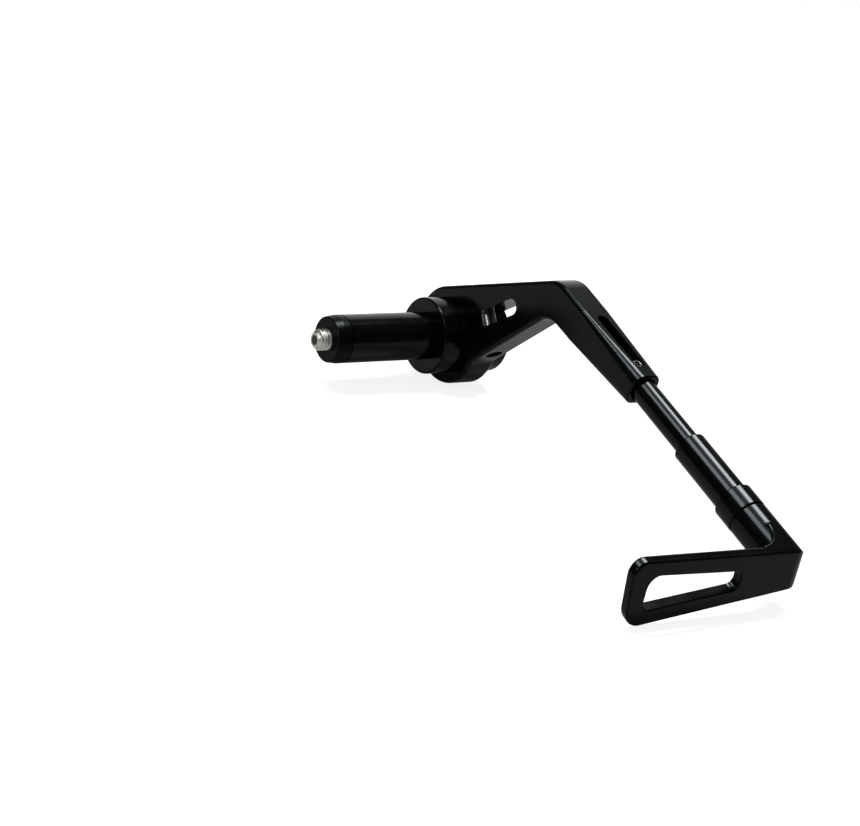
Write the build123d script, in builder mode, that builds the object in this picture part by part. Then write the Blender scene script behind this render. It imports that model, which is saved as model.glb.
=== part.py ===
from build123d import *
import os
from math import atan, cos, degrees, radians, sin, sqrt

# Brake lever guard for one end of a motorbike handlebar, in millimetres.
# The origin is on the bar axis, at the collar's inner end face, where the handlebar ends.
# +X points forwards along the arm, +Z up, and -Y inboard, into the handlebar.

# Bar-end fitting, turned about the bar axis
collar_diameter = 29.0
collar_length = 30.5
collar_round = 0.7
collar_floor = 12.0
head_bore_diameter = 18.4
head_bore_chamfer = 0.6
sleeve_recess_diameter = 20.0
sleeve_recess_depth = 2.5
sleeve_recess_chamfer = 0.4
sleeve_diameter = 18.0
sleeve_neck_diameter = 17.6
sleeve_exposed_length = 37.5
nut_diameter = 18.0
nut_length = 6.2
nut_taper_length = 3.4
nut_taper_depth = 0.5
nut_end_chamfer = 0.3
nut_front_chamfer = 0.45
bolt_diameter = 8.0
bolt_head_diameter = 13.0
bolt_head_height = 8.0
bolt_head_chamfer = 0.8
bolt_socket_size = 6.0
bolt_socket_depth = 4.0
bolt_proud = 5.2
bolt_tip_chamfer = 1.4
washer_diameter = 16.0
washer_thickness = 1.6

# Arm plate: clamp hub, first limb, elbow and second limb
plate_setback = 15.9
plate_thickness = 12.0
hub_diameter = 37.0
edge_round = 1.5
top_edge_angle = 22.5
lower_edge_angle = 42.0
lower_edge_drop = 15.1
elbow_outer_radius = 12.0
elbow_inner_radius = 10.0
hub_corner_radius = 5.0
limb_outer_width = 6.0
limb_inner_width = 7.5
limb_start = 58.0
limb_lead = 3.0
arm_end = 94.5
nose_inner_width = 6.2
nose_round = 4.2
nose_chamfer = 0.5
socket_mouth_chamfer = 0.4

# Clamp slot and pinch screw, placed by their distance from the bar axis
clamp_slot_angle = 35.5
clamp_slot_width = 6.0
clamp_slot_reach = 45.8
pinch_screw_reach = 20.6
pinch_screw_diameter = 6.0
pinch_screw_length = 18.0
pinch_tip_chamfer = 0.6
pinch_head_diameter = 9.8
pinch_head_height = 6.0
pinch_head_chamfer = 0.6
pinch_socket_size = 5.0
pinch_socket_depth = 3.0
pinch_counterbore_diameter = 10.3
pinch_counterbore_depth = 7.0

# Reach rod: stations run along its axis from the point nearest the bar axis
rod_slope = 17.5
rod_offset = 52.5
rod_diameter = 9.0
rod_inner_end = 77.0
rod_socket_end = 52.5
rod_sleeve_diameter = 11.8
rod_sleeve_start = 123.3
rod_ring_diameter = 14.2
rod_ring_start = 149.6
rod_ring_end = 158.9
rod_step_chamfer = 0.8
rod_end_chamfer = 0.5
rod_spigot_diameter = 8.0
rod_spigot_length = 12.0
reach_slot_width = 4.4
reach_slot_start = 61.2
reach_slot_nose = 5.5
lock_screw_diameter = 4.0
lock_screw_length = 8.0
lock_screw_sunk = 0.5
lock_screw_chamfer = 0.4
lock_socket_size = 2.0
lock_socket_depth = 2.5

# Hook: a boss on the rod's end and a windowed paddle that reaches inboard
boss_diameter = 14.0
boss_length = 25.1
boss_chamfer = 0.5
hook_face_tilt = 15.5
hook_thickness = 3.5
hook_reach = 69.2
hook_top_rise = 2.3
hook_bottom_fall = 5.0
hook_tip_slant = 6.5
hook_tip_top_radius = 5.0
hook_tip_bottom_radius = 6.5
hook_front_round = 0.85
hook_back_round = 0.8
hook_corner_radius = 6.6
hook_web_radius = 10.0
hook_web_inset = 4.0
window_start = 22.1
window_tip_wall = 7.9
window_start_top = 2.2
window_end_top = 4.6
window_start_bottom = -4.1
window_end_bottom = -7.2
window_start_radius = 2.6
window_tip_top_radius = 4.4
window_tip_bottom_radius = 2.0
window_front_round = 0.5

# Clearances, each on the radius
running_clearance = 0.05
thread_clearance = 0.05
shank_clearance = 0.3

# Worked-out places along the bar axis, inboard of the collar's inner face
sleeve_start = -sleeve_recess_depth
nut_start = sleeve_exposed_length
nut_end = nut_start + nut_length
bolt_tip = nut_end + bolt_proud
washer_seat = sleeve_start - collar_floor
head_seat = washer_seat - washer_thickness
bolt_hole_radius = bolt_diameter / 2 + shank_clearance

hub_radius = hub_diameter / 2
boss_radius = boss_diameter / 2
rod_radius = rod_diameter / 2
rod_angle = -rod_slope
reach_slot_end = arm_end - reach_slot_nose
screw_station = reach_slot_end - reach_slot_width / 2
lock_screw_top = limb_outer_width - lock_screw_sunk
lock_screw_bottom = lock_screw_top - lock_screw_length


def direction(angle):
    """Unit vector in the plate's plane, at an angle above +X."""
    return Vector(cos(radians(angle)), sin(radians(angle)))


def across(angle):
    """Unit vector in the plate's plane, square to a direction and to its left."""
    return Vector(-sin(radians(angle)), cos(radians(angle)))


def upright(flat):
    """The same vector in the X and Z axes of the whole part."""
    return Vector(flat.X, 0, flat.Y)


def meet(angle_a, offset_a, angle_b, offset_b):
    """Crossing point of two lines given by their angles and offsets from the bar axis."""
    span = (offset_b - offset_a * cos(radians(angle_b - angle_a))) / -sin(radians(angle_b - angle_a))
    return across(angle_a) * offset_a + direction(angle_a) * span


inboard = Vector(0, -1, 0)
plate_plane = Plane.XZ.offset(-plate_setback)
rod_plane = Plane(origin=plate_plane.from_local_coords(across(rod_angle) * rod_offset),
                  x_dir=upright(direction(rod_angle)), z_dir=inboard)
rod_axis = Axis(rod_plane.origin, rod_plane.x_dir)
slot_plane = Plane(origin=plate_plane.origin, x_dir=upright(direction(clamp_slot_angle)), z_dir=inboard)


def bar_plane(distance):
    """Plane across the bar axis that faces inboard, at a distance inboard of the collar's inner face."""
    return Plane.XZ.offset(distance)


def rod_point(station, rise):
    """Point in the plate's plane by its station along the rod and its rise from the rod's axis."""
    return across(rod_angle) * (rod_offset + rise) + direction(rod_angle) * station


def rod_section(station):
    """Plane across the rod that faces back to the elbow, with x inboard and y to the rod's outer side."""
    return Plane(origin=rod_plane.from_local_coords((station, 0, 0)), x_dir=inboard, z_dir=-rod_plane.x_dir)


def rod_outer(station, rise):
    """Plane along the rod that faces its outer side, at a station and a rise from the rod's axis."""
    return Plane(origin=rod_plane.from_local_coords((station, rise, 0)), x_dir=rod_plane.x_dir,
                 z_dir=rod_plane.y_dir)


def pinch_plane(rise):
    """Plane across the pinch screw that faces its head, at a rise from the middle of the clamp slot."""
    return Plane(origin=slot_plane.from_local_coords((pinch_screw_reach, rise, 0)), x_dir=slot_plane.x_dir,
                 z_dir=slot_plane.y_dir)


def rims(part_edges, radius):
    """The round edges of one radius."""
    return [edge for edge in part_edges.filter_by(GeomType.CIRCLE) if abs(edge.radius - radius) < 1e-4]


# Arm: plate outline from the hub to the start of the second limb, then the tapering second limb
hub_tangent = across(top_edge_angle) * hub_radius
elbow_outer = meet(top_edge_angle, hub_radius, rod_angle, rod_offset + limb_outer_width)
limb_taper = degrees(atan((limb_inner_width - nose_inner_width) / (arm_end - limb_start)))
limb_inner_angle = rod_angle + limb_taper
limb_bend = rod_point(limb_start - limb_lead, -limb_inner_width)
limb_inner_offset = across(limb_inner_angle).dot(limb_bend)
elbow_inner = meet(lower_edge_angle, -lower_edge_drop, limb_inner_angle, limb_inner_offset)
lower_edge_foot = across(lower_edge_angle) * -lower_edge_drop
hub_corner = lower_edge_foot + direction(lower_edge_angle) * sqrt(hub_radius**2 - lower_edge_drop**2)
slot_lean = radians(clamp_slot_angle - top_edge_angle)
top_face_rise = (hub_radius - pinch_screw_reach * sin(slot_lean)) / cos(slot_lean)
pinch_seat = top_face_rise - pinch_counterbore_depth

with BuildPart() as arm:
    with BuildSketch(plate_plane):
        with BuildLine():
            Polyline(hub_tangent, elbow_outer, rod_point(limb_start, limb_outer_width),
                     rod_point(limb_start, -limb_inner_width), limb_bend, elbow_inner, lower_edge_foot,
                     close=True)
        make_face()
        fillet(vertices().sort_by_distance(elbow_outer)[0], elbow_outer_radius)
        fillet(vertices().sort_by_distance(elbow_inner)[0], elbow_inner_radius)
        Circle(hub_radius)
        fillet(vertices().sort_by_distance(hub_corner)[0], hub_corner_radius)
    extrude(amount=plate_thickness / 2, both=True)
    limb_edges = faces().sort_by_distance(rod_plane.from_local_coords((limb_start, 0, 0)))[0].edges()
    outline_edges = [edge for face in faces().filter_by(Axis.Y) for edge in face.edges()]
    fillet([edge for edge in outline_edges if not any(edge.is_same(other) for other in limb_edges)], edge_round)
    with BuildSketch(rod_section(limb_start)):
        with Locations((0, (limb_outer_width - limb_inner_width) / 2)):
            RectangleRounded(plate_thickness, limb_outer_width + limb_inner_width, edge_round)
    with BuildSketch(rod_section(arm_end)):
        with Locations((0, (limb_outer_width - nose_inner_width) / 2)):
            RectangleRounded(plate_thickness, limb_outer_width + nose_inner_width, nose_round)
    loft()
    chamfer(faces().sort_by_distance(rod_plane.from_local_coords((arm_end, 0, 0)))[0].edges(), nose_chamfer)
    # Clamp bore and clamp slot
    with BuildSketch(plate_plane):
        Circle(collar_diameter / 2 + running_clearance)
    extrude(amount=plate_thickness, both=True, mode=Mode.SUBTRACT)
    with BuildSketch(slot_plane):
        with Locations(((clamp_slot_reach - clamp_slot_width / 2) / 2, 0)):
            Rectangle(clamp_slot_reach - clamp_slot_width / 2, clamp_slot_width)
        with Locations((clamp_slot_reach - clamp_slot_width / 2, 0)):
            Circle(clamp_slot_width / 2)
    extrude(amount=plate_thickness, both=True, mode=Mode.SUBTRACT)
    # Pinch screw: counterbore, clearance hole in the upper jaw, tapped hole in the lower jaw
    with BuildSketch(pinch_plane(pinch_seat)):
        Circle(pinch_counterbore_diameter / 2)
    extrude(amount=pinch_counterbore_depth * 2, mode=Mode.SUBTRACT)
    with BuildSketch(pinch_plane(pinch_seat)):
        Circle(pinch_screw_diameter / 2 + shank_clearance)
    extrude(amount=-pinch_seat, mode=Mode.SUBTRACT)
    with BuildSketch(pinch_plane(0)):
        Circle(pinch_screw_diameter / 2 + thread_clearance)
    extrude(amount=-pinch_screw_length, mode=Mode.SUBTRACT)
    # Rod socket and reach slot
    with BuildSketch(rod_section(arm_end)):
        Circle(rod_radius + running_clearance)
    extrude(amount=arm_end - rod_socket_end, mode=Mode.SUBTRACT)
    socket_mouth = rod_plane.from_local_coords((arm_end, 0, 0))
    chamfer(ShapeList(rims(edges(), rod_radius + running_clearance)).sort_by_distance(socket_mouth)[0],
            socket_mouth_chamfer)
    with BuildSketch(rod_outer((reach_slot_start + reach_slot_end) / 2, 0)):
        SlotOverall(reach_slot_end - reach_slot_start, reach_slot_width)
    extrude(amount=limb_outer_width * 2, mode=Mode.SUBTRACT)

# Collar that the arm clamps on, bored from its outer end for the bolt's head
with BuildPart() as bar_end_collar:
    with BuildSketch(bar_plane(0)):
        Circle(collar_diameter / 2)
    extrude(amount=-collar_length)
    fillet(rims(edges(), collar_diameter / 2), collar_round)
    with BuildSketch(bar_plane(0)):
        Circle(sleeve_recess_diameter / 2)
    extrude(amount=-sleeve_recess_depth, mode=Mode.SUBTRACT)
    with BuildSketch(bar_plane(washer_seat)):
        Circle(head_bore_diameter / 2)
    extrude(amount=-collar_length, mode=Mode.SUBTRACT)
    with BuildSketch(bar_plane(0)):
        Circle(bolt_hole_radius)
    extrude(amount=-collar_length, mode=Mode.SUBTRACT)
    outer_end = bar_plane(-collar_length).origin
    chamfer(ShapeList(rims(edges(), head_bore_diameter / 2)).sort_by_distance(outer_end)[0], head_bore_chamfer)
    chamfer(ShapeList(rims(edges(), sleeve_recess_diameter / 2)).sort_by_distance((0, 0, 0))[0],
            sleeve_recess_chamfer)

# Rubber sleeve, with a slightly thinner neck in the collar's recess
with BuildPart() as expander_sleeve:
    with BuildSketch(bar_plane(0)):
        Circle(sleeve_diameter / 2)
    extrude(amount=sleeve_exposed_length)
    with BuildSketch(bar_plane(0)):
        Circle(sleeve_neck_diameter / 2)
    extrude(amount=sleeve_start)
    with BuildSketch(bar_plane(sleeve_start)):
        Circle(bolt_hole_radius)
    extrude(amount=sleeve_exposed_length - sleeve_start, mode=Mode.SUBTRACT)

# Nut that the bolt draws against the sleeve, with a slightly tapered end
nut_radius = nut_diameter / 2
nut_end_radius = nut_radius - nut_taper_depth
nut_hole_radius = bolt_diameter / 2 + thread_clearance

with BuildPart() as expander_nut:
    with BuildSketch(Plane.XY):
        with BuildLine():
            Polyline(
                (nut_hole_radius, -nut_start),
                (nut_radius - nut_front_chamfer, -nut_start),
                (nut_radius, -nut_start - nut_front_chamfer),
                (nut_radius, -nut_end + nut_taper_length),
                (nut_end_radius, -nut_end + nut_end_chamfer),
                (nut_end_radius - nut_end_chamfer, -nut_end),
                (nut_hole_radius, -nut_end),
                close=True,
            )
        make_face()
    revolve(axis=Axis.Y)

# Bolt through the collar, the sleeve and the nut
with BuildPart() as expander_bolt:
    with BuildSketch(bar_plane(head_seat)):
        Circle(bolt_head_diameter / 2)
    extrude(amount=-bolt_head_height)
    chamfer(ShapeList(rims(edges(), bolt_head_diameter / 2)).sort_by(Axis.Y)[-1], bolt_head_chamfer)
    with BuildSketch(bar_plane(head_seat)):
        Circle(bolt_diameter / 2)
    extrude(amount=bolt_tip - head_seat)
    chamfer(ShapeList(rims(edges(), bolt_diameter / 2)).sort_by(Axis.Y)[0], bolt_tip_chamfer)
    with BuildSketch(bar_plane(head_seat - bolt_head_height)):
        RegularPolygon(bolt_socket_size / 2, 6, major_radius=False)
    extrude(amount=bolt_socket_depth, mode=Mode.SUBTRACT)

# Washer under the bolt's head
with BuildPart() as bolt_washer:
    with BuildSketch(bar_plane(head_seat)):
        Circle(washer_diameter / 2)
        Circle(bolt_hole_radius, mode=Mode.SUBTRACT)
    extrude(amount=washer_thickness)

# Screw that closes the clamp
with BuildPart() as pinch_screw:
    with BuildSketch(pinch_plane(pinch_seat)):
        Circle(pinch_head_diameter / 2)
    extrude(amount=pinch_head_height)
    with BuildSketch(pinch_plane(pinch_seat)):
        Circle(pinch_screw_diameter / 2)
    extrude(amount=-pinch_screw_length)
    head_centre = pinch_plane(pinch_seat + pinch_head_height).origin
    tip_centre = pinch_plane(pinch_seat - pinch_screw_length).origin
    chamfer(ShapeList(rims(edges(), pinch_head_diameter / 2)).sort_by_distance(head_centre)[0],
            pinch_head_chamfer)
    chamfer(ShapeList(rims(edges(), pinch_screw_diameter / 2)).sort_by_distance(tip_centre)[0],
            pinch_tip_chamfer)
    with BuildSketch(pinch_plane(pinch_seat + pinch_head_height)):
        RegularPolygon(pinch_socket_size / 2, 6, major_radius=False)
    extrude(amount=-pinch_socket_depth, mode=Mode.SUBTRACT)

# Rod, turned in one piece with its sleeve, ring and spigot
ring_radius = rod_ring_diameter / 2
rod_sleeve_radius = rod_sleeve_diameter / 2
spigot_radius = rod_spigot_diameter / 2
spigot_end = rod_ring_end + rod_spigot_length

with BuildPart() as reach_rod:
    with BuildSketch(rod_plane):
        with BuildLine():
            Polyline(
                (rod_inner_end, 0),
                (rod_inner_end, rod_radius - rod_end_chamfer),
                (rod_inner_end + rod_end_chamfer, rod_radius),
                (rod_sleeve_start, rod_radius),
                (rod_sleeve_start, rod_sleeve_radius - rod_step_chamfer),
                (rod_sleeve_start + rod_step_chamfer, rod_sleeve_radius),
                (rod_ring_start, rod_sleeve_radius),
                (rod_ring_start, ring_radius - rod_step_chamfer),
                (rod_ring_start + rod_step_chamfer, ring_radius),
                (rod_ring_end - rod_end_chamfer, ring_radius),
                (rod_ring_end, ring_radius - rod_end_chamfer),
                (rod_ring_end, spigot_radius),
                (spigot_end - rod_end_chamfer, spigot_radius),
                (spigot_end, spigot_radius - rod_end_chamfer),
                (spigot_end, 0),
                close=True,
            )
        make_face()
    revolve(axis=rod_axis)
    with BuildSketch(rod_outer(screw_station, lock_screw_bottom)):
        Circle(lock_screw_diameter / 2 + thread_clearance)
    extrude(amount=lock_screw_length * 2, mode=Mode.SUBTRACT)

# Grub screw that stands out of the rod into the arm's reach slot
with BuildPart() as reach_lock_screw:
    with BuildSketch(rod_outer(screw_station, lock_screw_bottom)):
        Circle(lock_screw_diameter / 2)
    extrude(amount=lock_screw_length)
    chamfer(rims(edges(), lock_screw_diameter / 2), lock_screw_chamfer)
    with BuildSketch(rod_outer(screw_station, lock_screw_top)):
        RegularPolygon(lock_socket_size / 2, 6, major_radius=False)
    extrude(amount=-lock_socket_depth, mode=Mode.SUBTRACT)

# Hook: outline along the rod, cut to the paddle and web in plan, joined to the round boss
face_normal = upright(direction(rod_angle + hook_face_tilt))
face_rise = upright(across(rod_angle + hook_face_tilt))
front_centre = rod_plane.from_local_coords((rod_ring_end + boss_length, 0, 0))
plan_plane = Plane(origin=front_centre, x_dir=-face_normal, z_dir=face_rise)
top_tangent = across(hook_top_rise) * boss_radius
bottom_tangent = across(-hook_bottom_fall) * -boss_radius
tip_top = top_tangent + direction(hook_top_rise) * ((hook_reach - top_tangent.X) / cos(radians(hook_top_rise)))
tip_edge = direction(-90 - hook_tip_slant)
tip_gap = tip_top - bottom_tangent
fall_along = across(-hook_bottom_fall)
tip_bottom = tip_top + tip_edge * (-tip_gap.dot(fall_along) / tip_edge.dot(fall_along))
web_back = hook_thickness + hook_web_radius
web_side = boss_radius - hook_web_inset
corner_start = hook_corner_radius - boss_radius
hook_margin = 6.0

window_end = hook_reach - window_tip_wall
window_corners = [
    (window_start, window_start_top),
    (window_end, window_end_top),
    (window_end, window_end_bottom),
    (window_start, window_start_bottom),
]


# Paddle on its own: the outline cut square to the tilted face, with broken edges, and its window
with BuildPart() as paddle:
    with BuildSketch(rod_section(rod_ring_end)):
        with BuildLine():
            Polyline(top_tangent, tip_top, tip_bottom, bottom_tangent, close=True)
        make_face()
        fillet(vertices().sort_by_distance(tip_top)[0], hook_tip_top_radius)
        fillet(vertices().sort_by_distance(tip_bottom)[0], hook_tip_bottom_radius)
        Circle(boss_radius)
    extrude(amount=-(boss_length + hook_margin))
    with BuildSketch(plan_plane):
        with Locations((hook_thickness / 2, 0)):
            Rectangle(hook_thickness, hook_reach * 4)
    extrude(amount=hook_reach, both=True, mode=Mode.INTERSECT)
    tip_front = plan_plane.from_local_coords((0, (window_end + hook_reach) / 2, 0))
    tip_back = plan_plane.from_local_coords((hook_thickness, (window_end + hook_reach) / 2, 0))
    fillet(faces().sort_by_distance(tip_front)[0].edges(), hook_front_round)
    fillet(faces().sort_by_distance(tip_back)[0].edges(), hook_back_round)
    with BuildSketch(rod_section(rod_ring_end)):
        with BuildLine():
            Polyline(*window_corners, close=True)
        make_face()
        fillet(vertices().sort_by_distance(window_corners[0])[0], window_start_radius)
        fillet(vertices().sort_by_distance(window_corners[1])[0], window_tip_top_radius)
        fillet(vertices().sort_by_distance(window_corners[2])[0], window_tip_bottom_radius)
        fillet(vertices().sort_by_distance(window_corners[3])[0], window_start_radius)
    extrude(amount=-(boss_length + hook_margin), mode=Mode.SUBTRACT)
    fillet(faces().sort_by_distance(tip_front)[0].inner_wires()[0].edges(), window_front_round)

# Hook: the web that blends the paddle into the round boss, the boss and the paddle as one piece
with BuildPart() as lever_hook:
    with BuildSketch(rod_section(rod_ring_end)):
        with BuildLine():
            Polyline(top_tangent, tip_top, tip_bottom, bottom_tangent, close=True)
        make_face()
        Circle(boss_radius)
    extrude(amount=-(boss_length + hook_margin))
    with BuildSketch(plan_plane):
        with BuildLine():
            Polyline((web_back, web_side), (web_back, -hook_reach), (hook_thickness / 2, -hook_reach),
                     (hook_thickness / 2, web_side + hook_web_radius),
                     (hook_thickness, web_side + hook_web_radius))
            RadiusArc((hook_thickness, web_side + hook_web_radius), (web_back, web_side), -hook_web_radius)
        make_face()
    extrude(amount=hook_reach, both=True, mode=Mode.INTERSECT)
    with BuildSketch(rod_section(rod_ring_end)):
        Circle(boss_radius)
    extrude(amount=hook_thickness + hook_back_round - boss_length)
    add(paddle.part)
    # Round corner on the outer side of the front
    with BuildSketch(plan_plane):
        with BuildLine():
            Polyline((0, corner_start), (-hook_reach, corner_start), (-hook_reach, -hook_reach),
                     (hook_corner_radius, -hook_reach), (hook_corner_radius, -boss_radius))
            RadiusArc((hook_corner_radius, -boss_radius), (0, corner_start), hook_corner_radius)
        make_face()
    extrude(amount=hook_reach, both=True, mode=Mode.SUBTRACT)
    # Socket for the rod's spigot
    with BuildSketch(rod_section(rod_ring_end)):
        Circle(spigot_radius + running_clearance)
    extrude(amount=-(rod_spigot_length + running_clearance), mode=Mode.SUBTRACT)
    boss_foot = rod_plane.from_local_coords((rod_ring_end, 0, 0))
    chamfer(ShapeList(rims(edges(), boss_radius)).sort_by_distance(boss_foot)[0], boss_chamfer)

os.makedirs("parts", exist_ok=True)
arm.part.label = "arm"
export_step(arm.part, "parts/arm.step")
bar_end_collar.part.label = "bar_end_collar"
export_step(bar_end_collar.part, "parts/bar_end_collar.step")
expander_sleeve.part.label = "expander_sleeve"
export_step(expander_sleeve.part, "parts/expander_sleeve.step")
expander_nut.part.label = "expander_nut"
export_step(expander_nut.part, "parts/expander_nut.step")
expander_bolt.part.label = "expander_bolt"
export_step(expander_bolt.part, "parts/expander_bolt.step")
bolt_washer.part.label = "bolt_washer"
export_step(bolt_washer.part, "parts/bolt_washer.step")
pinch_screw.part.label = "pinch_screw"
export_step(pinch_screw.part, "parts/pinch_screw.step")
reach_rod.part.label = "reach_rod"
export_step(reach_rod.part, "parts/reach_rod.step")
reach_lock_screw.part.label = "reach_lock_screw"
export_step(reach_lock_screw.part, "parts/reach_lock_screw.step")
lever_hook.part.label = "lever_hook"
export_step(lever_hook.part, "parts/lever_hook.step")
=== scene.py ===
import math

import bmesh
import bpy
from mathutils import Matrix, Vector


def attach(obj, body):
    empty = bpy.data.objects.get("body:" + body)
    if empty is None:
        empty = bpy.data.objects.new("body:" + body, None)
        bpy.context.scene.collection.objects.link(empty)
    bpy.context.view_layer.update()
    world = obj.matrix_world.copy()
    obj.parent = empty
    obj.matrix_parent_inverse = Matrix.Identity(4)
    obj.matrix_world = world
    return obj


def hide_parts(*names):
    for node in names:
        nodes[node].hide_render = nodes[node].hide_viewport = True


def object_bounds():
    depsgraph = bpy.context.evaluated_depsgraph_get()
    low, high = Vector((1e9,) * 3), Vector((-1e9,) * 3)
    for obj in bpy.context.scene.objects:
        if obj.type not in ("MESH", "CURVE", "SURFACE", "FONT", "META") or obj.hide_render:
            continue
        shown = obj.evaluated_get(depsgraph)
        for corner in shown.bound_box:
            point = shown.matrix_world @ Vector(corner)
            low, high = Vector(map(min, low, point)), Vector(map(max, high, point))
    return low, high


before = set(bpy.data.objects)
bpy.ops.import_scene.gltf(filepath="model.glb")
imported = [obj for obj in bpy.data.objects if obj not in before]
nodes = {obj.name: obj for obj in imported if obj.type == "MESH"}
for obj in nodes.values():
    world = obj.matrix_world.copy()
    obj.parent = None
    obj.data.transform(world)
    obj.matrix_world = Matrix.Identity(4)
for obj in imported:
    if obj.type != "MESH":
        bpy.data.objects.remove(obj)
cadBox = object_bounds()
scene = bpy.context.scene
mm = 0.001


# small helpers for node trees

def addNode(tree, kind, inputs=None, **settings):
    node = tree.nodes.new(kind)
    for key, value in settings.items():
        setattr(node, key, value)
    for key, value in (inputs or {}).items():
        node.inputs[key].default_value = value
    return node


def join(tree, outSocket, inSocket):
    tree.links.new(outSocket, inSocket)


def reckon(tree, operation, first, second, clamp=False):
    # one sum of two values, each a socket or a number
    node = addNode(tree, "ShaderNodeMath", operation=operation, use_clamp=clamp)
    for index, value in enumerate((first, second)):
        if isinstance(value, bpy.types.NodeSocket):
            join(tree, value, node.inputs[index])
        else:
            node.inputs[index].default_value = value
    return node.outputs[0]


noiseLow, noiseHigh = 0.3, 0.7  # the part of a noise's range that is used


def spread(tree, source, low, high, fromLow=noiseLow, fromHigh=noiseHigh):
    ranged = addNode(tree, "ShaderNodeMapRange", {
        "From Min": fromLow, "From Max": fromHigh, "To Min": low, "To Max": high})
    join(tree, source, ranged.inputs["Value"])
    return ranged.outputs["Result"]


def tint(tree, source, dark, light):
    ramp = addNode(tree, "ShaderNodeValToRGB")
    first, last = ramp.color_ramp.elements
    first.position, last.position = noiseLow, noiseHigh
    first.color, last.color = (*dark, 1), (*light, 1)
    join(tree, source, ramp.inputs["Fac"])
    return ramp.outputs["Color"]


def noise(tree, place, scale, detail):
    made = addNode(tree, "ShaderNodeTexNoise", {"Scale": scale, "Detail": detail})
    join(tree, place, made.inputs["Vector"])
    return made.outputs["Fac"]


# finishes

def newFinish(name):
    finish = bpy.data.materials.new(name)
    finish.use_nodes = True
    tree = finish.node_tree
    tree.nodes.clear()
    surface = addNode(tree, "ShaderNodeBsdfPrincipled")
    output = addNode(tree, "ShaderNodeOutputMaterial")
    join(tree, surface.outputs["BSDF"], output.inputs["Surface"])
    place = addNode(tree, "ShaderNodeTexCoord").outputs["Object"]
    return finish, tree, surface, place


def colour(tree, surface, cloud, wear, look):
    # the cloud shifts the colour, the wear shifts the roughness
    join(tree, tint(tree, cloud, look["dark"], look["light"]), surface.inputs["Base Color"])
    join(tree, spread(tree, wear, look["roughLow"], look["roughHigh"]), surface.inputs["Roughness"])


def roughen(tree, surface, height, look):
    bump = addNode(tree, "ShaderNodeBump", {"Strength": look["grainStrength"], "Distance": look["grainDepth"]})
    join(tree, height, bump.inputs["Height"])
    join(tree, bump.outputs["Normal"], surface.inputs["Normal"])


def gloss(surface, look):
    surface.inputs["Specular IOR Level"].default_value = look["specular"]
    surface.inputs["Specular Tint"].default_value = look["specularTint"]


milledLook = {
    "dark": (0.0010, 0.0014, 0.0016), "light": (0.0020, 0.0025, 0.0028),
    "roughLow": 0.16, "roughHigh": 0.21, "specular": 0.17, "specularTint": (0.82, 0.97, 1.0, 1),
    "grainScale": 5200, "grainDetail": 2, "grainDepth": 0.006 * mm, "grainStrength": 0.10,
    "cloudScale": 70, "cloudDetail": 3,
}
rubberLook = {
    "dark": (0.0010, 0.0013, 0.0015), "light": (0.0022, 0.0026, 0.0028),
    "roughLow": 0.10, "roughHigh": 0.14, "specular": 0.17, "specularTint": (0.84, 0.98, 1.0, 1),
    "grainScale": 2400, "grainDetail": 3, "grainDepth": 0.008 * mm, "grainStrength": 0.16,
    "cloudScale": 120, "cloudDetail": 4,
}


def satinBlack(name, look):
    # satin black dye over a fine blasted grain, or the skin of moulded rubber
    finish, tree, surface, place = newFinish(name)
    cloud = noise(tree, place, look["cloudScale"], look["cloudDetail"])
    colour(tree, surface, cloud, cloud, look)
    roughen(tree, surface, noise(tree, place, look["grainScale"], look["grainDetail"]), look)
    gloss(surface, look)
    return finish


turnedLook = {
    "dark": (0.0009, 0.0012, 0.0014), "light": (0.0018, 0.0022, 0.0025),
    "roughLow": 0.14, "roughHigh": 0.19, "specular": 0.18, "specularTint": (0.85, 0.98, 1.0, 1),
    "lineScale": 2600, "lineDetail": 3, "grainDepth": 0.004 * mm, "grainStrength": 0.12,
    "cloudScale": 90, "cloudDetail": 3,
}


def turnedBlack(name, look, axis):
    # lathe lines run round the axis, so the noise only changes along it
    finish, tree, surface, place = newFinish(name)
    along = addNode(tree, "ShaderNodeVectorMath", {1: axis}, operation="DOT_PRODUCT")
    join(tree, place, along.inputs[0])
    lines = addNode(tree, "ShaderNodeTexNoise", {"Scale": look["lineScale"], "Detail": look["lineDetail"]},
                    noise_dimensions="1D")
    join(tree, along.outputs["Value"], lines.inputs["W"])
    cloud = noise(tree, place, look["cloudScale"], look["cloudDetail"])
    colour(tree, surface, cloud, lines.outputs["Fac"], look)
    roughen(tree, surface, lines.outputs["Fac"], look)
    gloss(surface, look)
    return finish


steelLook = {
    "dark": (0.63, 0.62, 0.59), "light": (0.80, 0.79, 0.76),
    "roughLow": 0.34, "roughHigh": 0.46,
    "grainScale": 4200, "grainDetail": 2, "grainDepth": 0.008 * mm, "grainStrength": 0.15,
    "platingScale": 700, "platingDetail": 4,
}


def platedSteel(name, look):
    # zinc plating, a little cloudy; the look sets its colour, and the two darker looks below are painted shade
    finish, tree, surface, place = newFinish(name)
    plating = noise(tree, place, look["platingScale"], look["platingDetail"])
    colour(tree, surface, plating, plating, look)
    roughen(tree, surface, noise(tree, place, look["grainScale"], look["grainDetail"]), look)
    surface.inputs["Metallic"].default_value = 1.0
    return finish


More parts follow.
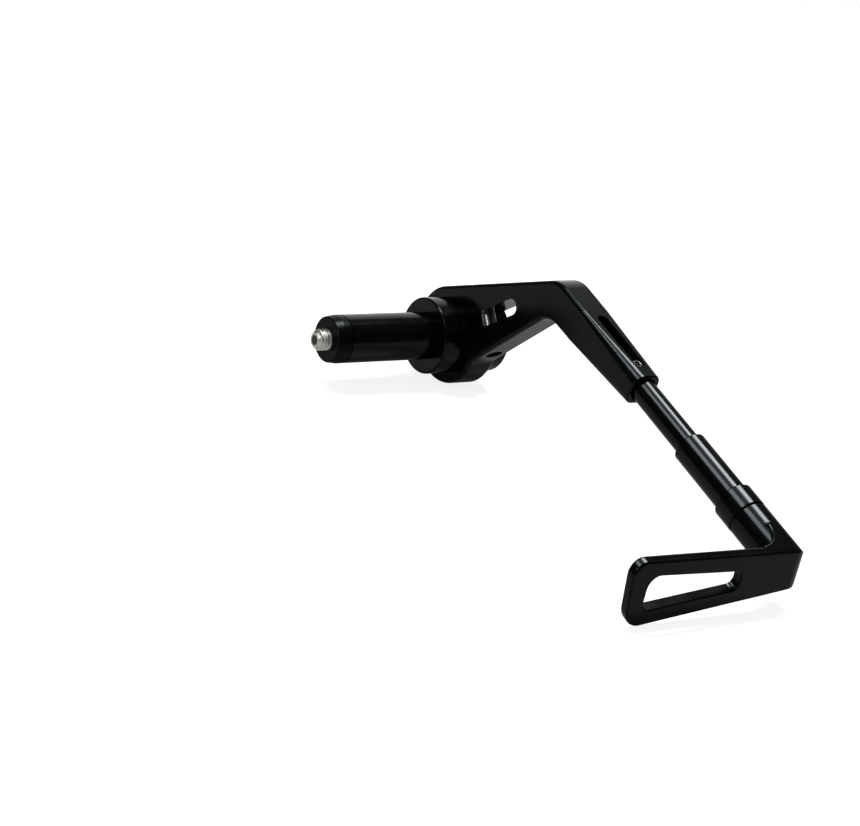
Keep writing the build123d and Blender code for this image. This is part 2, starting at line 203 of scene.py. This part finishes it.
barAxis = Vector((0, 1, 0))
rodAxis = Vector((0.953717, 0, -0.300706))
hookLook = {**milledLook, "roughLow": 0.14, "roughHigh": 0.19, "cloudScale": 95}
nutLook = {**turnedLook, "roughLow": 0.24, "roughHigh": 0.32, "specular": 0.08}
# darker copy of the plated steel for the pinch and lock screws, which sit down in the slots: painted shade, the
# colour stands in for the shade the slots hold
slotShadeSteelLook = {**steelLook, "dark": (0.28, 0.28, 0.27), "light": (0.42, 0.42, 0.41),
            "roughLow": 0.18, "roughHigh": 0.26}
# near-black steel for the dimple in the bolt's tip: painted shade, darkening the hollow
dimpleShadeLook = {**steelLook, "dark": (0.05, 0.05, 0.05), "light": (0.13, 0.13, 0.12),
              "roughLow": 0.4, "roughHigh": 0.55}
armFinish = satinBlack("armMilledBlack", milledLook)
hookFinish = satinBlack("hookMilledBlack", hookLook)
sleeveFinish = satinBlack("sleeveRubber", rubberLook)
barFinish = turnedBlack("barEndTurnedBlack", turnedLook, barAxis)
nutFinish = turnedBlack("nutTurnedBlack", nutLook, barAxis)
rodFinish = turnedBlack("rodTurnedBlack", {**turnedLook, "lineScale": 3200}, rodAxis)
steelFinish = platedSteel("zincPlatedSteel", steelLook)
# painted shade: the darker steel for the screws in the slots
slotShadeSteel = platedSteel("slotShadeSteel", slotShadeSteelLook)
# painted shade: the near-black steel for the bolt tip's dimple
dimpleShadeFinish = platedSteel("dimplePaintedShade", dimpleShadeLook)

nodeFinish = {
    "arm": armFinish, "lever_hook": hookFinish, "bar_end_collar": barFinish, "expander_nut": nutFinish,
    "reach_rod": rodFinish, "expander_sleeve": sleeveFinish, "bolt_washer": steelFinish,
    "expander_bolt": steelFinish, "pinch_screw": slotShadeSteel, "reach_lock_screw": slotShadeSteel,
}
for nodeName, finish in nodeFinish.items():
    nodes[nodeName].data.materials.clear()
    nodes[nodeName].data.materials.append(finish)
print("finishes set on", len(nodeFinish), "nodes")


# small helpers for meshes

def show(name, data):
    piece = bpy.data.objects.new(name, data)
    scene.collection.objects.link(piece)
    return piece


def toMesh(name, made):
    mesh = bpy.data.meshes.new(name)
    made.to_mesh(mesh)
    made.free()
    return mesh


def smooth(mesh, sharpFrom=None):
    for polygon in mesh.polygons:
        polygon.use_smooth = True
    if sharpFrom:
        mesh.set_sharp_from_angle(angle=sharpFrom)


# helpers for geometry trees

def newTree(name, inputs):
    tree = bpy.data.node_groups.new(name, "GeometryNodeTree")
    for label, kind in inputs:
        tree.interface.new_socket(name=label, in_out="INPUT", socket_type="NodeSocket" + kind)
    tree.interface.new_socket(name="Geometry", in_out="OUTPUT", socket_type="NodeSocketGeometry")
    return tree, addNode(tree, "NodeGroupInput").outputs


def finishTree(tree, made, finish):
    real = addNode(tree, "GeometryNodeRealizeInstances")
    painted = addNode(tree, "GeometryNodeSetMaterial")
    output = addNode(tree, "NodeGroupOutput")
    join(tree, made, real.inputs["Geometry"])
    join(tree, real.outputs["Geometry"], painted.inputs["Geometry"])
    join(tree, finish, painted.inputs["Material"])
    join(tree, painted.outputs["Geometry"], output.inputs["Geometry"])


def nearerEnd(tree):
    # share of the path from each point to its nearer end
    along = addNode(tree, "GeometryNodeSplineParameter").outputs["Factor"]
    return reckon(tree, "MINIMUM", along, reckon(tree, "SUBTRACT", 1.0, along))


def endTaper(tree, distance, runout, least):
    # full size past the runout, shrinking to the least size at the end
    grown = reckon(tree, "DIVIDE", distance, runout, clamp=True)
    return reckon(tree, "MAXIMUM", grown, least)


def sweep(tree, path, profile, size=None):
    swept = addNode(tree, "GeometryNodeCurveToMesh", {"Fill Caps": True})
    join(tree, path, swept.inputs["Curve"])
    join(tree, profile, swept.inputs["Profile Curve"])
    if size is not None:
        join(tree, size, swept.inputs["Scale"])
    return swept.outputs["Mesh"]


def roundWire(tree, radius, sides):
    wire = addNode(tree, "GeometryNodeCurvePrimitiveCircle", {"Resolution": sides})
    join(tree, radius, wire.inputs["Radius"])
    return wire.outputs["Curve"]


def setAlong(tree, points, shape):
    placed = addNode(tree, "GeometryNodeInstanceOnPoints")
    join(tree, points, placed.inputs["Points"])
    join(tree, shape, placed.inputs["Instance"])
    return placed.outputs["Instances"]


def grow(name, tree, values, base=None):
    # runs a tree on a mesh, empty unless one is given, and keeps the result as a plain mesh
    piece = show(name, base or bpy.data.meshes.new(name))
    modifier = piece.modifiers.new("grow", "NODES")
    modifier.node_group = tree
    for item in tree.interface.items_tree:
        if item.in_out == "INPUT" and item.name in values:
            modifier[item.identifier] = values[item.name]
    bpy.context.view_layer.update()
    grown = piece.evaluated_get(bpy.context.evaluated_depsgraph_get())
    mesh = bpy.data.meshes.new_from_object(grown)
    piece.modifiers.clear()
    piece.data = mesh
    return piece


# screw thread: a trapezoid ridge wound on a spiral, tapering out at both ends

ridgeLook = {
    # corners as shares of the pitch and of the depth, with the foot a little inside the core;
    # the profile's X side faces the axis, so outward is negative
    "corners": ((0.46, 0.15), (0.07, -1.0), (-0.07, -1.0), (-0.46, 0.15)),
    "least": 0.02,
}


def threadTree(look):
    tree, given = newTree("threadRidge", (
        ("Root Radius", "Float"), ("Crest Radius", "Float"), ("Pitch", "Float"), ("Turns", "Float"),
        ("Steps", "Int"), ("Runout Turns", "Float"), ("Finish", "Material")))
    spiral = addNode(tree, "GeometryNodeCurveSpiral")
    join(tree, given["Steps"], spiral.inputs["Resolution"])
    join(tree, given["Turns"], spiral.inputs["Rotations"])
    join(tree, given["Root Radius"], spiral.inputs["Start Radius"])
    join(tree, given["Root Radius"], spiral.inputs["End Radius"])
    join(tree, reckon(tree, "MULTIPLY", given["Pitch"], given["Turns"]), spiral.inputs["Height"])
    upright = addNode(tree, "GeometryNodeSetCurveNormal", mode="Z_UP")
    join(tree, spiral.outputs["Curve"], upright.inputs["Curve"])

    profile = addNode(tree, "GeometryNodeCurvePrimitiveQuadrilateral", mode="POINTS")
    depth = reckon(tree, "SUBTRACT", given["Crest Radius"], given["Root Radius"])
    for index, (acrossShare, depthShare) in enumerate(look["corners"], 1):
        corner = addNode(tree, "ShaderNodeCombineXYZ")
        join(tree, reckon(tree, "MULTIPLY", depth, depthShare), corner.inputs["X"])
        join(tree, reckon(tree, "MULTIPLY", given["Pitch"], acrossShare), corner.inputs["Y"])
        join(tree, corner.outputs["Vector"], profile.inputs[f"Point {index}"])

    turnsLeft = reckon(tree, "MULTIPLY", nearerEnd(tree), given["Turns"])
    size = endTaper(tree, turnsLeft, given["Runout Turns"], look["least"])
    ridge = sweep(tree, upright.outputs["Curve"], profile.outputs["Curve"], size)
    finishTree(tree, ridge, given["Finish"])
    return tree


def knurlTree(sides):
    # straight knurl: thin round ridges set in a circle
    tree, given = newTree("straightKnurl", (
        ("Count", "Int"), ("Circle Radius", "Float"), ("Ridge Radius", "Float"),
        ("Ridge Length", "Float"), ("Finish", "Material")))
    circle = addNode(tree, "GeometryNodeMeshCircle")
    join(tree, given["Count"], circle.inputs["Vertices"])
    join(tree, given["Circle Radius"], circle.inputs["Radius"])
    ridge = addNode(tree, "GeometryNodeMeshCylinder", {"Vertices": sides})
    join(tree, given["Ridge Radius"], ridge.inputs["Radius"])
    join(tree, given["Ridge Length"], ridge.inputs["Depth"])
    finishTree(tree, setAlong(tree, circle.outputs["Mesh"], ridge.outputs["Mesh"]), given["Finish"])
    return tree


threadRidge = threadTree(ridgeLook)
knurlRidges = knurlTree(8)


# turned cores: rings of points, each with a height along the screw and a radius

def hexRadius(acrossFlats):
    sixth = math.pi / 3

    def radius(angle):
        lean = (angle + sixth / 2) % sixth - sixth / 2
        return acrossFlats / 2 / math.cos(lean)
    return radius


def turnRings(name, rings, startHeight, endHeight, around, finish):
    made = bmesh.new()
    loops = []
    for height, radius in rings:
        loop = []
        for step in range(around):
            angle = 2 * math.pi * step / around
            far = radius(angle) if callable(radius) else radius
            loop.append(made.verts.new((far * math.cos(angle), far * math.sin(angle), height)))
        loops.append(loop)
    for first, second in zip(loops, loops[1:]):
        for step in range(around):
            after = (step + 1) % around
            made.faces.new((first[step], first[after], second[after], second[step]))
    for height, loop in ((startHeight, loops[0]), (endHeight, loops[-1])):
        tip = made.verts.new((0, 0, height))
        for step in range(around):
            made.faces.new((tip, loop[step], loop[(step + 1) % around]))
    bmesh.ops.recalc_face_normals(made, faces=made.faces)
    mesh = toMesh(name, made)
    mesh.materials.append(finish)
    return show(name, mesh)


def stand(look):
    # matrix that puts local Z along the screw and local X to its side
    zDir = Vector(look["along"]).normalized()
    side = Vector(look["side"])
    xDir = (side - zDir * zDir.dot(side)).normalized()
    turned = Matrix((xDir, zDir.cross(xDir), zDir)).transposed().to_4x4()
    return Matrix.Translation(Vector(look["seat"])) @ turned


screwSharp = math.radians(32)  # steeper edges stay crisp


def fuse(name, parts, place):
    # one mesh from several, put in its place
    made = bmesh.new()
    for part in parts:
        made.from_mesh(part.data)
    mesh = toMesh(name, made)
    for finish in parts[0].data.materials:
        mesh.materials.append(finish)
    mesh.transform(place)
    smooth(mesh, screwSharp)
    for part in parts:
        old = part.data
        bpy.data.objects.remove(part)
        bpy.data.meshes.remove(old)
    return show(name, mesh)


def headRings(look):
    # a headed screw, from the floor of its hex socket over the head to its tip
    top, length, radius, root = -look["headHeight"], look["length"], look["radius"], look["root"]
    head, soft, bevel, rim = look["headRadius"], look["headRound"], look["headBevel"], look["hexRim"]
    tipRadius = radius - look["tipChamfer"]
    hexWall = hexRadius(look["hexSize"])
    return [
        (top + look["hexDepth"], hexWall),
        (top + rim, hexWall),
        (top, lambda angle: hexWall(angle) + rim),
        (top, head - soft),
        *((top + soft * down, head - soft * inward) for down, inward in look["headCorner"]),
        (top + soft, head),
        (-bevel, head),
        (0, head - bevel),
        (0, radius),
        (look["threadFrom"] - look["shankRunout"], radius),
        (look["threadFrom"], root),
        (length - (root - tipRadius), root),
        (length, tipRadius),
    ]


def windThread(look, finish):
    start, end = look["threadFrom"], look["length"] - look["threadGap"]
    ridge = grow("thread", threadRidge, {
        "Root Radius": look["root"], "Crest Radius": look["radius"], "Pitch": look["pitch"],
        "Turns": (end - start) / look["pitch"], "Steps": look["threadSteps"],
        "Runout Turns": look["threadRunout"], "Finish": finish})
    ridge.data.transform(Matrix.Translation((0, 0, start)))
    return ridge


boltLook = {
    "seat": (0, 16.1 * mm, 0), "along": (0, -1, 0), "side": (1, 0, 0), "around": 72,
    "length": 65.0 * mm, "radius": 4.0 * mm, "root": 3.36 * mm, "pitch": 1.25 * mm,
    "threadFrom": 44.0 * mm, "threadGap": 0.63 * mm, "threadSteps": 40, "threadRunout": 0.5,
    "shankRunout": 0.4 * mm, "tipChamfer": 1.4 * mm,
    "dimple": 1.9 * mm, "dimpleDepth": 0.9 * mm, "dimpleShadeShare": 0.9,
    "headRadius": 6.38 * mm, "headHeight": 8.0 * mm, "headBevel": 0.2 * mm,
    "headRound": 0.8 * mm, "headCorner": ((0.1, 0.5), (0.5, 0.1)),
    "hexSize": 6.0 * mm, "hexDepth": 4.0 * mm, "hexCone": 1.0 * mm, "hexRim": 0.25 * mm,
    "knurlRidges": 44, "knurlRadius": 0.16 * mm, "knurlSink": 0.04 * mm, "knurlFrom": 1.0 * mm,
}


def expanderBolt(look):
    top, length = -look["headHeight"], look["length"]
    rings = [*headRings(look), (length, look["dimple"])]
    dimpleFloor = length - look["dimpleDepth"]
    core = turnRings("boltCore", rings, top + look["hexDepth"] + look["hexCone"], dimpleFloor,
                     look["around"], steelFinish)
    # faces in the dimple, inside the given share of its radius, take the near-black steel: painted shade in the
    # hollow of the tip
    core.data.materials.append(dimpleShadeFinish)
    for polygon in core.data.polygons:
        middle = polygon.center
        if middle.z > dimpleFloor and middle.xy.length < look["dimple"] * look["dimpleShadeShare"]:
            polygon.material_index = 1
    knurlHeight = look["headHeight"] - look["headRound"] - look["knurlFrom"]
    knurl = grow("boltKnurl", knurlRidges, {
        "Count": look["knurlRidges"], "Circle Radius": look["headRadius"] - look["knurlSink"],
        "Ridge Radius": look["knurlRadius"], "Ridge Length": knurlHeight, "Finish": steelFinish})
    knurl.data.transform(Matrix.Translation((0, 0, top + look["headRound"] + knurlHeight / 2)))
    return fuse("expanderBolt", [core, windThread(look, steelFinish), knurl], stand(look))


pinchLook = {
    "seat": (12.572 * mm, 15.9 * mm, 17.849 * mm), "along": (0.5807, 0, -0.8141), "side": (0, 1, 0), "around": 60,
    "length": 18.0 * mm, "radius": 3.0 * mm, "root": 2.5 * mm, "pitch": 1.0 * mm,
    "threadFrom": 11.2 * mm, "threadGap": 0.3 * mm, "threadSteps": 36, "threadRunout": 0.5,
    "shankRunout": 0.4 * mm, "tipChamfer": 0.6 * mm,
    "headRadius": 4.9 * mm, "headHeight": 6.0 * mm, "headBevel": 0.2 * mm,
    "headRound": 0.6 * mm, "headCorner": ((0.3, 0.3),),
    "hexSize": 5.0 * mm, "hexDepth": 3.0 * mm, "hexCone": 0.8 * mm, "hexRim": 0.2 * mm,
}


def pinchScrew(look):
    socketFloor = look["hexDepth"] + look["hexCone"] - look["headHeight"]
    core = turnRings("pinchCore", headRings(look), socketFloor, look["length"], look["around"], slotShadeSteel)
    return fuse("pinchScrew", [core, windThread(look, slotShadeSteel)], stand(look))


lockLook = {
    "seat": (100.224 * mm, 15.9 * mm, 29.213 * mm), "along": (-0.300706, 0, -0.953717), "side": (0, 1, 0),
    "around": 48, "length": 8.0 * mm, "radius": 2.0 * mm, "root": 1.64 * mm, "pitch": 0.7 * mm,
    "threadFrom": 0.16 * mm, "threadGap": 0.16 * mm, "threadSteps": 32, "threadRunout": 0.6,
    "chamfer": 0.4 * mm, "hexSize": 2.0 * mm, "hexDepth": 2.5 * mm, "hexCone": 0.5 * mm, "hexRim": 0.12 * mm,
}


def lockScrew(look):
    length, root, rim = look["length"], look["root"], look["hexRim"]
    endRadius = look["radius"] - look["chamfer"]
    hexWall = hexRadius(look["hexSize"])
    rings = [
        (look["hexDepth"], hexWall),
        (rim, hexWall),
        (0, lambda angle: hexWall(angle) + rim),
        (0, endRadius),
        (root - endRadius, root),
        (length - (root - endRadius), root),
        (length, endRadius),
    ]
    core = turnRings("lockCore", rings, look["hexDepth"] + look["hexCone"], length, look["around"], slotShadeSteel)
    return fuse("reachLockScrew", [core, windThread(look, slotShadeSteel)], stand(look))


for made, body, node in (
    (expanderBolt(boltLook), "bar_end", "expander_bolt"),
    (pinchScrew(pinchLook), "arm", "pinch_screw"),
    (lockScrew(lockLook), "reach", "reach_lock_screw"),
):
    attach(made, body)
    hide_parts(node)
    print("screw:", made.name, len(made.data.polygons), "faces")


# cutter marks: a row of fine ticks over the rounded front edge of the hook's top

hookTop = Vector((0.30046, 0.04013, 0.95295))  # the way the hook's top faces
tickLook = {
    "count": 57, "first": (191.544 * mm, 3.9 * mm, 2.505 * mm), "last": (191.616 * mm, -46.1 * mm, 4.587 * mm),
    "frontNormal": (0.99939, 0, -0.0349), "edgeRadius": 0.85 * mm,
    "wire": 0.10 * mm, "sink": 0.04 * mm, "shares": (-0.05, 0.3, 0.62), "arcSteps": 8, "wireSides": 8,
}


def tickTree(look):
    # short arcs of thin wire, set along a line
    tree, given = newTree("edgeTicks", (
        ("Count", "Int"), ("First Place", "Vector"), ("Step", "Vector"), ("Arc Start", "Vector"),
        ("Arc Middle", "Vector"), ("Arc End", "Vector"), ("Wire Radius", "Float"), ("Finish", "Material")))
    arc = addNode(tree, "GeometryNodeCurveArc", {"Resolution": look["arcSteps"]}, mode="POINTS")
    for place in ("Start", "Middle", "End"):
        join(tree, given["Arc " + place], arc.inputs[place])
    tick = sweep(tree, arc.outputs["Curve"], roundWire(tree, given["Wire Radius"], look["wireSides"]))
    line = addNode(tree, "GeometryNodeMeshLine", mode="OFFSET")
    join(tree, given["Count"], line.inputs["Count"])
    join(tree, given["First Place"], line.inputs["Start Location"])
    join(tree, given["Step"], line.inputs["Offset"])
    finishTree(tree, setAlong(tree, line.outputs["Mesh"], tick), given["Finish"])
    return tree


def hookTicks(look):
    front = Vector(look["frontNormal"])
    opening = hookTop.angle(front)
    centre = (hookTop + front) * (-look["edgeRadius"] / (1 + hookTop.dot(front)))
    across = (front - hookTop * hookTop.dot(front)).normalized()
    far = look["edgeRadius"] - look["sink"]
    arc = [centre + (hookTop * math.cos(opening * share) + across * math.sin(opening * share)) * far
           for share in look["shares"]]
    first, last = Vector(look["first"]), Vector(look["last"])
    ticks = grow("hookTicks", tickTree(look), {
        "Count": look["count"], "First Place": first, "Step": (last - first) / (look["count"] - 1),
        "Arc Start": arc[0], "Arc Middle": arc[1], "Arc End": arc[2], "Wire Radius": look["wire"],
        "Finish": hookFinish})
    smooth(ticks.data)
    return ticks


ticks = hookTicks(tickLook)
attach(ticks, "reach")
print("hook ticks:", len(ticks.data.polygons), "faces")


# web rim: the rounded top edge of the web, from the boss round to the paddle

rimLook = {
    "flat": 0.99, "turn": math.radians(80), "weld": 0.002 * mm, "pastX": 178 * mm, "pastY": 2.5 * mm,
    "wire": 0.70 * mm, "sink": 0.72 * mm, "runout": 0.14, "least": 0.3, "wireSides": 12,
}


def wireTree(look):
    # a round wire along the given edges, tapering out at both ends
    tree, given = newTree("edgeWire", (
        ("Path", "Geometry"), ("Wire Radius", "Float"), ("Runout Share", "Float"), ("Finish", "Material")))
    path = addNode(tree, "GeometryNodeMeshToCurve")
    join(tree, given["Path"], path.inputs["Mesh"])
    size = endTaper(tree, nearerEnd(tree), given["Runout Share"], look["least"])
    wire = roundWire(tree, given["Wire Radius"], look["wireSides"])
    finishTree(tree, sweep(tree, path.outputs["Curve"], wire, size), given["Finish"])
    return tree


def rimPath(look):
    # edges between the hook's top plane and the web, moved a little way in
    hook = nodes["lever_hook"]
    made = bmesh.new()
    made.from_mesh(hook.data)
    made.transform(hook.matrix_world)
    bmesh.ops.remove_doubles(made, verts=made.verts, dist=look["weld"])
    places, lines = {}, []
    for edge in made.edges:
        middle = (edge.verts[0].co + edge.verts[1].co) / 2
        if len(edge.link_faces) != 2 or middle.x < look["pastX"] or middle.y < look["pastY"]:
            continue
        first, second = (face.normal for face in edge.link_faces)
        if max(first.dot(hookTop), second.dot(hookTop)) < look["flat"]:
            continue
        if edge.calc_face_angle_signed(0) < look["turn"]:
            continue
        inward = (first + second).normalized() * -look["sink"]
        for vert in edge.verts:
            places[vert.index] = vert.co + inward
        lines.append([vert.index for vert in edge.verts])
    made.free()
    order = {index: place for place, index in enumerate(places)}
    mesh = bpy.data.meshes.new("webRim")
    mesh.from_pydata(list(places.values()), [[order[index] for index in line] for line in lines], [])
    return mesh


webPath = rimPath(rimLook)
print("web rim path:", len(webPath.edges), "edges")
rim = grow("webRim", wireTree(rimLook), {
    "Wire Radius": rimLook["wire"], "Runout Share": rimLook["runout"], "Finish": hookFinish}, webPath)
smooth(rim.data)
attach(rim, "reach")
print("web rim:", len(rim.data.polygons), "faces")


# sleeve lip: a thin rubber ring that closes the mouth of the collar's recess, flush with its face

lipLook = {
    "inner": 8.6 * mm, "outer": 9.95 * mm, "mouth": 10.34 * mm, "front": -0.03 * mm, "bevel": 0.38 * mm,
    "back": -2.3 * mm, "around": 96, "sharp": math.radians(40),
}


def sleeveLip(look):
    front, back, inner, outer = look["front"], look["back"], look["inner"], look["outer"]
    profile = [(back, inner), (front, inner), (front, look["mouth"]),
               (front - look["bevel"], outer), (back, outer)]
    made = bmesh.new()
    loops = []
    for step in range(look["around"]):
        angle = 2 * math.pi * step / look["around"]
        loops.append([made.verts.new((radius * math.cos(angle), -height, radius * math.sin(angle)))
                      for height, radius in profile])
    for step, loop in enumerate(loops):
        following = loops[(step + 1) % look["around"]]
        for place in range(len(profile)):
            after = (place + 1) % len(profile)
            made.faces.new((loop[place], loop[after], following[after], following[place]))
    bmesh.ops.recalc_face_normals(made, faces=made.faces)
    mesh = toMesh("sleeveLip", made)
    mesh.materials.append(sleeveFinish)
    smooth(mesh, look["sharp"])
    return show("sleeveLip", mesh)


lip = sleeveLip(lipLook)
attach(lip, "bar_end")
print("sleeve lip:", len(lip.data.polygons), "faces")


# studio: pale floor, two ceiling strips, a soft ceiling panel, a front fill and a backdrop glow

floorLook = {
    "drop": 0.3 * mm, "reach": 1.15, "sides": 96,
    "colour": (0.39, 0.39, 0.39, 1), "lift": 0.86, "mirrorShare": 0.07,
}


def paleFloor(look):
    made = bmesh.new()
    bmesh.ops.create_circle(made, cap_ends=True, segments=look["sides"], radius=look["reach"])
    mesh = toMesh("paleFloor", made)
    mesh.transform(Matrix.Translation((0, 0, cadBox[0].z - look["drop"])))
    floor = show("paleFloor", mesh)
    finish = bpy.data.materials.new("floorPaint")
    finish.use_nodes = True
    tree = finish.node_tree
    tree.nodes.clear()
    path = addNode(tree, "ShaderNodeLightPath").outputs
    mirrored = reckon(tree, "ADD", path["Is Glossy Ray"], path["Is Transmission Ray"], clamp=True)
    dimmed = reckon(tree, "MULTIPLY", mirrored, look["mirrorShare"])
    seen = reckon(tree, "ADD", dimmed, path["Is Camera Ray"], clamp=True)
    paint = addNode(tree, "ShaderNodeBsdfDiffuse", {"Color": look["colour"]})
    glow = addNode(tree, "ShaderNodeEmission", {"Color": (1, 1, 1, 1)})
    both = addNode(tree, "ShaderNodeAddShader")
    output = addNode(tree, "ShaderNodeOutputMaterial")
    join(tree, reckon(tree, "MULTIPLY", seen, look["lift"]), glow.inputs["Strength"])
    join(tree, paint.outputs[0], both.inputs[0])
    join(tree, glow.outputs[0], both.inputs[1])
    join(tree, both.outputs[0], output.inputs["Surface"])
    mesh.materials.append(finish)


paleFloor(floorLook)

lampLook = {
    "aim": (0.12, 0.016, 0.015),
    "backStrip": {"from": (-0.24, 0.335, 1.0), "size": (0.28, 0.38), "glow": 27.0},
    "frontStrip": {"from": (-0.26, -0.51, 1.0), "size": (0.28, 0.42), "glow": 12.0},
    "ceilingPanel": {"from": (-0.25, -0.065, 1.02), "size": (0.30, 0.40), "glow": 1.5},
    "frontFill": {"from": (0.14, -0.81, 0.57), "size": (0.30, 0.30), "glow": 5.0, "aimed": True},
}


def studioLamp(name, aim, look):
    lamp = bpy.data.lights.new(name, "AREA")
    lamp.shape = "RECTANGLE"
    lamp.size, lamp.size_y = look["size"]
    lamp.energy = look["glow"] * math.pi * lamp.size * lamp.size_y
    holder = show(name, lamp)
    holder.location = Vector(aim) + Vector(look["from"])
    if look.get("aimed"):
        holder.rotation_euler = Vector(look["from"]).to_track_quat("Z", "Y").to_euler()
    holder.visible_camera = False


for lampName in ("backStrip", "frontStrip", "ceilingPanel", "frontFill"):
    studioLamp(lampName, lampLook["aim"], lampLook[lampName])

# the backdrop is bright between two upright edges, up to a given height
roomLook = {
    "dark": 0.06, "bright": 1.1,
    "edges": (((-0.839, -0.545, 0), -0.10, 0.12), ((0.342, 0.940, 0), -0.10, 0.20), ((0, 0, -1), -0.76, -0.62)),
}


def studioRoom(look):
    room = bpy.data.worlds.new("studioRoom")
    scene.world = room
    room.use_nodes = True
    tree = room.node_tree
    tree.nodes.clear()
    way = addNode(tree, "ShaderNodeTexCoord").outputs["Generated"]
    share = None
    for edge, low, high in look["edges"]:
        facing = addNode(tree, "ShaderNodeVectorMath", {1: edge}, operation="DOT_PRODUCT")
        join(tree, way, facing.inputs[0])
        inside = spread(tree, facing.outputs["Value"], 0.0, 1.0, low, high)
        share = inside if share is None else reckon(tree, "MULTIPLY", share, inside)
    glow = spread(tree, share, look["dark"], look["bright"], 0.0, 1.0)
    path = addNode(tree, "ShaderNodeLightPath").outputs
    seen = addNode(tree, "ShaderNodeMix", {"B": 1.0}, data_type="FLOAT")
    join(tree, path["Is Camera Ray"], seen.inputs["Factor"])
    join(tree, glow, seen.inputs["A"])
    back = addNode(tree, "ShaderNodeBackground", {"Color": (1, 1, 1, 1)})
    output = addNode(tree, "ShaderNodeOutputWorld")
    join(tree, seen.outputs["Result"], back.inputs["Strength"])
    join(tree, back.outputs[0], output.inputs["Surface"])


studioRoom(roomLook)
scene.view_settings.view_transform = "Standard"
print("studio lit")

cameraLook = {
    "place": (0.618051, -0.484137, 0.264222), "lens": 91.679, "sensor": 36.0, "nearest": 0.01, "farthest": 50,
    "right": (0.555065, 0.808945, 0.193679), "up": (-0.397288, 0.053257, 0.916147),
    "back": (0.730798, -0.585467, 0.350945),
}


def photoCamera(look):
    eye = bpy.data.cameras.new("photoCamera")
    eye.lens = look["lens"]
    eye.sensor_width = look["sensor"]
    eye.clip_start = look["nearest"]
    eye.clip_end = look["farthest"]
    holder = show("photoCamera", eye)
    turned = Matrix([Vector(look[way]) for way in ("right", "up", "back")]).transposed().to_4x4()
    holder.matrix_world = Matrix.Translation(Vector(look["place"])) @ turned
    scene.camera = holder


photoCamera(cameraLook)
print("camera placed")
